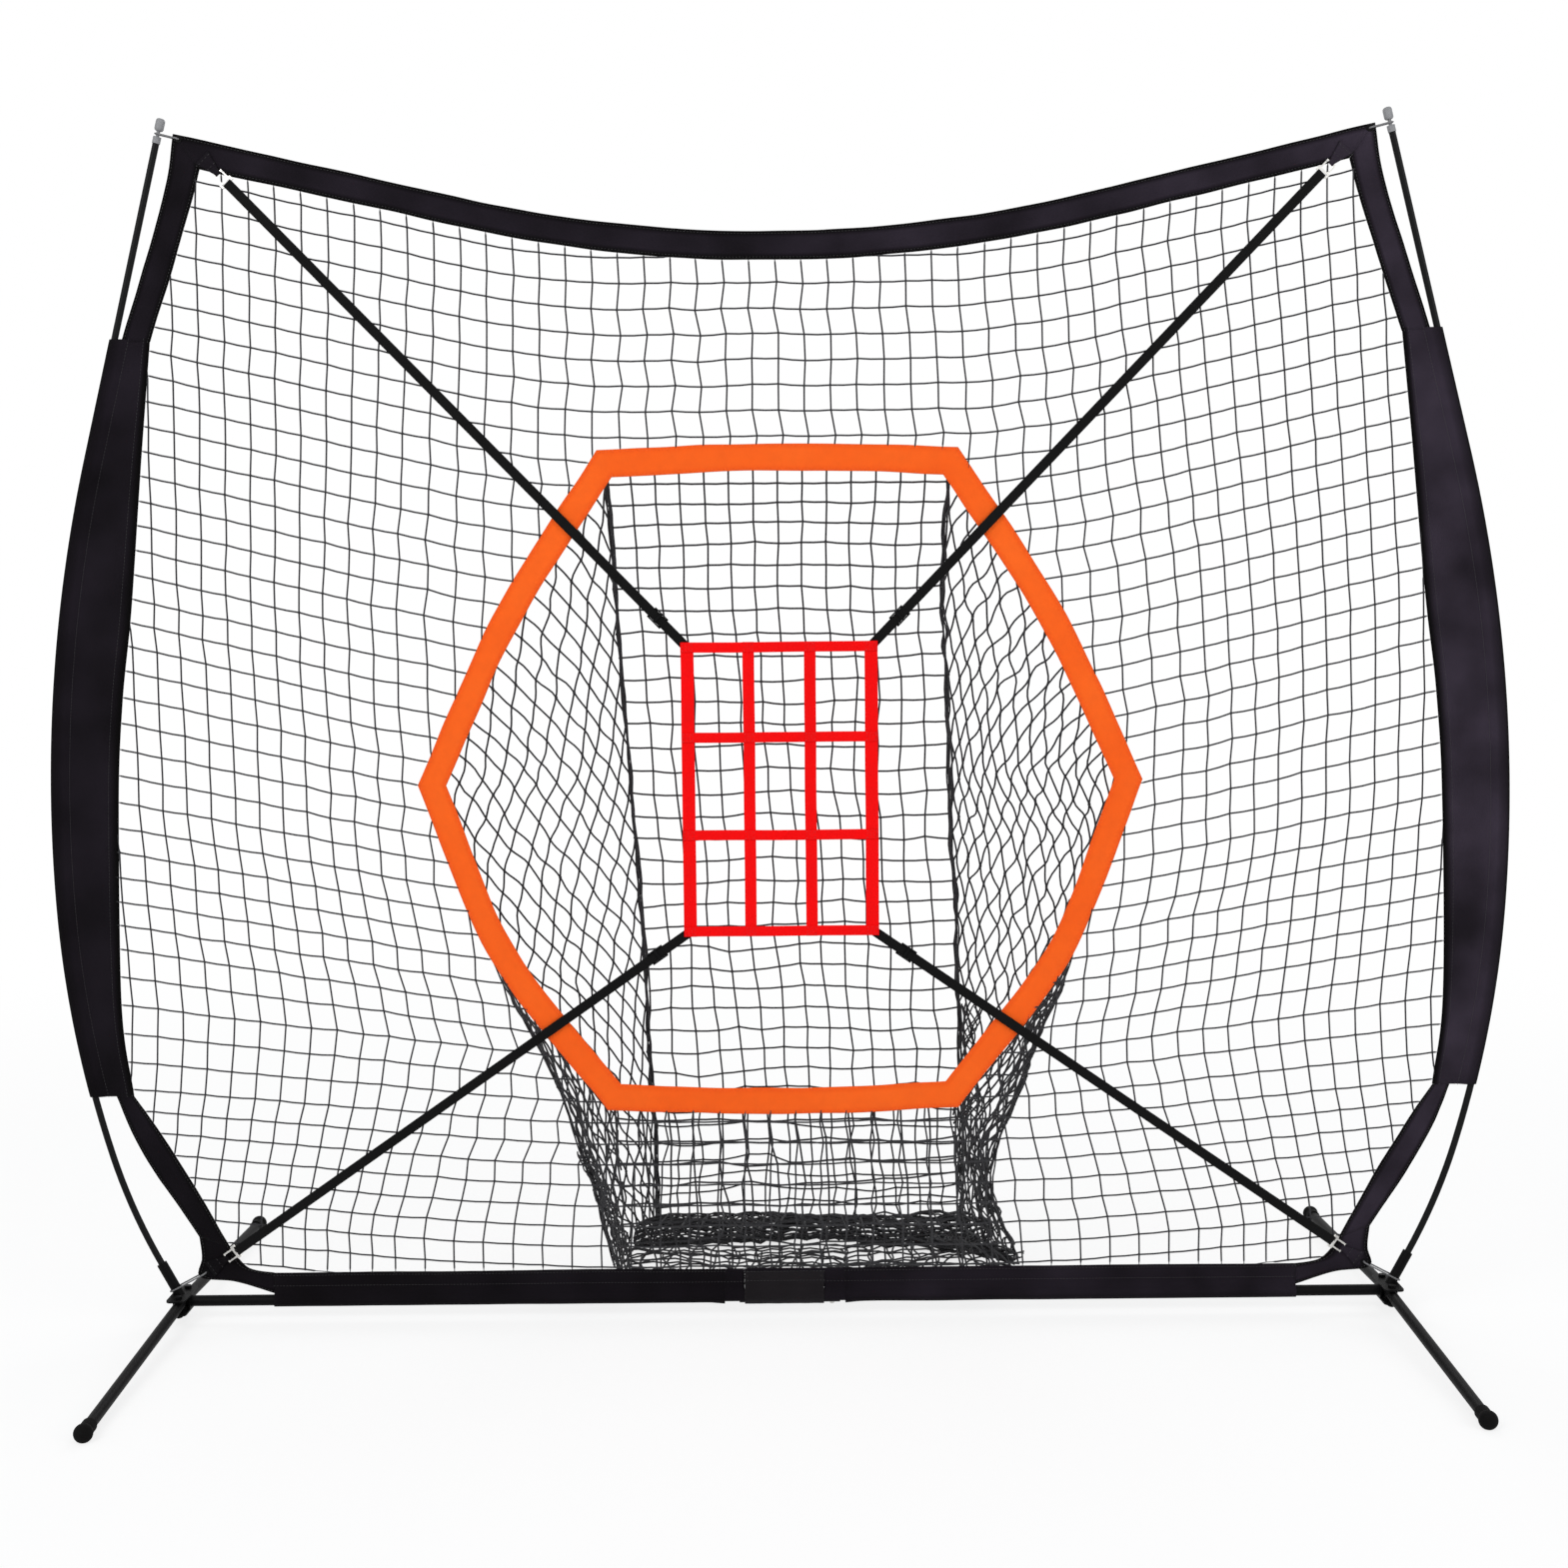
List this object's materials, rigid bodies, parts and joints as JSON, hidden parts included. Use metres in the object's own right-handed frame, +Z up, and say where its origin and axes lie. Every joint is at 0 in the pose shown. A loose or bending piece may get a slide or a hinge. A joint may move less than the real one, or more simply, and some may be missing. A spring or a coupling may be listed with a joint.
{
  "type": "practice net",
  "caption": "Free-standing practice net on a bowed frame, with a six-sided mouth, a catch pocket behind it and a hanging strap target.",
  "frame": {"origin": "on the ground, below the middle of the crossbar, midway between the front and rear feet", "axes": "+X to the right seen from the front, along the crossbar; +Y to the back, where the pocket hangs; +Z up"},
  "size_m": [2.1328, 0.917, 1.754],
  "materials": {
    "black_steel": "satin powder coat",
    "zinc_steel": "zinc plated",
    "foot_rubber": "matte moulded rubber",
    "black_fibreglass": "pultruded rod, satin",
    "grey_plastic": "moulded",
    "border_fabric": "woven polyester, matte",
    "flap_fabric": "woven polyester with loop pile",
    "black_netting": "knotless polyester twine",
    "orange_band": "woven polyester band",
    "red_webbing": "woven nylon webbing",
    "black_webbing": "woven nylon webbing",
    "grey_elastic": "covered elastic cord",
    "black_plastic": "moulded nylon",
    "nickel_metal": "nickel plated"
  },
  "bodies": {
    "root": {"bottom_hem": "border_fabric", "button_spring": "zinc_steel", "centre_flap": "flap_fabric", "corner_eyelets": "black_steel", "corner_gussets": "border_fabric", "corner_tabs": "border_fabric", "crossbar_coupler": "black_steel", "crossbar_left": "black_steel", "crossbar_right": "black_steel", "elastic_loops": "grey_elastic", "face_net_bottom": "black_netting", "face_net_lower_left": "black_netting", "face_net_lower_right": "black_netting", "face_net_top": "black_netting", "face_net_upper_left": "black_netting", "face_net_upper_right": "black_netting", "hanging_straps": "black_webbing", "hub_bracket_left": "black_steel", "hub_bracket_right": "black_steel", "lower_side_bands": "border_fabric", "mouth_band": "orange_band", "pivot_bolts": "black_steel", "pivot_lock_nuts": "black_steel", "pocket_back_net": "black_netting", "pocket_floor_net": "black_netting", "pocket_side_net_left": "black_netting", "pocket_side_net_right": "black_netting", "pole_ferrules": "zinc_steel", "pole_lower_left": "black_fibreglass", "pole_lower_right": "black_fibreglass", "pole_middle_left": "black_fibreglass", "pole_middle_right": "black_fibreglass", "pole_sockets": "black_steel", "pole_tip_caps": "grey_plastic", "pole_upper_left": "black_fibreglass", "pole_upper_right": "black_fibreglass", "side_sleeve_left": "border_fabric", "side_sleeve_right": "border_fabric", "snap_hooks": "nickel_metal", "target_rungs": "red_webbing", "target_uprights": "red_webbing", "top_hem": "border_fabric", "upper_side_bands": "border_fabric"},
    "front_right_leg": {"leg_front_right": "black_steel", "foot_cap_front_right": "foot_rubber"},
    "rear_right_leg": {"leg_rear_right": "black_steel", "foot_cap_rear_right": "foot_rubber"},
    "front_left_leg": {"leg_front_left": "black_steel", "foot_cap_front_left": "foot_rubber"},
    "rear_left_leg": {"leg_rear_left": "black_steel", "foot_cap_rear_left": "foot_rubber"},
    "coupler_button": {"coupler_button": "zinc_steel"},
    "snap_gate_upper_right": {"snap_gate_upper_right": "nickel_metal"},
    "slide_adjuster_upper_right": {"slide_adjuster_upper_right": "black_plastic"},
    "snap_gate_upper_left": {"snap_gate_upper_left": "nickel_metal"},
    "slide_adjuster_upper_left": {"slide_adjuster_upper_left": "black_plastic"},
    "snap_gate_lower_right": {"snap_gate_lower_right": "nickel_metal"},
    "slide_adjuster_lower_right": {"slide_adjuster_lower_right": "black_plastic"},
    "snap_gate_lower_left": {"snap_gate_lower_left": "nickel_metal"},
    "slide_adjuster_lower_left": {"slide_adjuster_lower_left": "black_plastic"}
  },
  "joints": [
    {"name": "front_right_leg_swivel", "type": "hinge", "parent": "root", "child": "front_right_leg", "pos_m": [0.899, -0.025, 0.03], "axis": [0, 0, -1], "range_deg": [0, 90]},
    {"name": "rear_right_leg_swivel", "type": "hinge", "parent": "root", "child": "rear_right_leg", "pos_m": [0.899, 0.025, 0.03], "axis": [0, 0, 1], "range_deg": [0, 90]},
    {"name": "front_left_leg_swivel", "type": "hinge", "parent": "root", "child": "front_left_leg", "pos_m": [-0.899, -0.025, 0.03], "axis": [0, 0, 1], "range_deg": [0, 90]},
    {"name": "rear_left_leg_swivel", "type": "hinge", "parent": "root", "child": "rear_left_leg", "pos_m": [-0.899, 0.025, 0.03], "axis": [0, 0, -1], "range_deg": [0, 90]},
    {"name": "coupler_button_press", "type": "slide", "parent": "root", "child": "coupler_button", "axis": [0, 0, 1], "range_m": [0, 0.0045], "stiffness_N_per_m": 900, "springref_m": -0.001, "deforming": ["button_spring"]},
    {"name": "snap_gate_upper_right_turn", "type": "hinge", "parent": "root", "child": "snap_gate_upper_right", "pos_m": [0.7772, -0.0054, 1.67055], "axis": [0, 1, 0], "range_deg": [0, 25], "stiffness_Nm_per_rad": 0.01, "springref_deg": -11.46},
    {"name": "slide_adjuster_upper_right_slide", "type": "slide", "parent": "root", "child": "slide_adjuster_upper_right", "axis": [0.6959, 0, 0.7181], "range_m": [-0.03, 0.12]},
    {"name": "snap_gate_upper_left_turn", "type": "hinge", "parent": "root", "child": "snap_gate_upper_left", "pos_m": [-0.7772, -0.0054, 1.67055], "axis": [0, -1, 0], "range_deg": [0, 25], "stiffness_Nm_per_rad": 0.01, "springref_deg": -11.46},
    {"name": "slide_adjuster_upper_left_slide", "type": "slide", "parent": "root", "child": "slide_adjuster_upper_left", "axis": [-0.6959, 0, 0.7181], "range_m": [-0.03, 0.12]},
    {"name": "snap_gate_lower_right_turn", "type": "hinge", "parent": "root", "child": "snap_gate_lower_right", "pos_m": [0.81604, -0.0054, 0.09867], "axis": [0, -1, 0], "range_deg": [0, 25], "stiffness_Nm_per_rad": 0.01, "springref_deg": -11.46},
    {"name": "slide_adjuster_lower_right_slide", "type": "slide", "parent": "root", "child": "slide_adjuster_lower_right", "axis": [0.8211, 0, -0.5707], "range_m": [-0.03, 0.12]},
    {"name": "snap_gate_lower_left_turn", "type": "hinge", "parent": "root", "child": "snap_gate_lower_left", "pos_m": [-0.81604, -0.0054, 0.09867], "axis": [0, 1, 0], "range_deg": [0, 25], "stiffness_Nm_per_rad": 0.01, "springref_deg": -11.46},
    {"name": "slide_adjuster_lower_left_slide", "type": "slide", "parent": "root", "child": "slide_adjuster_lower_left", "axis": [-0.8211, 0, -0.5707], "range_m": [-0.03, 0.12]}
  ]
}
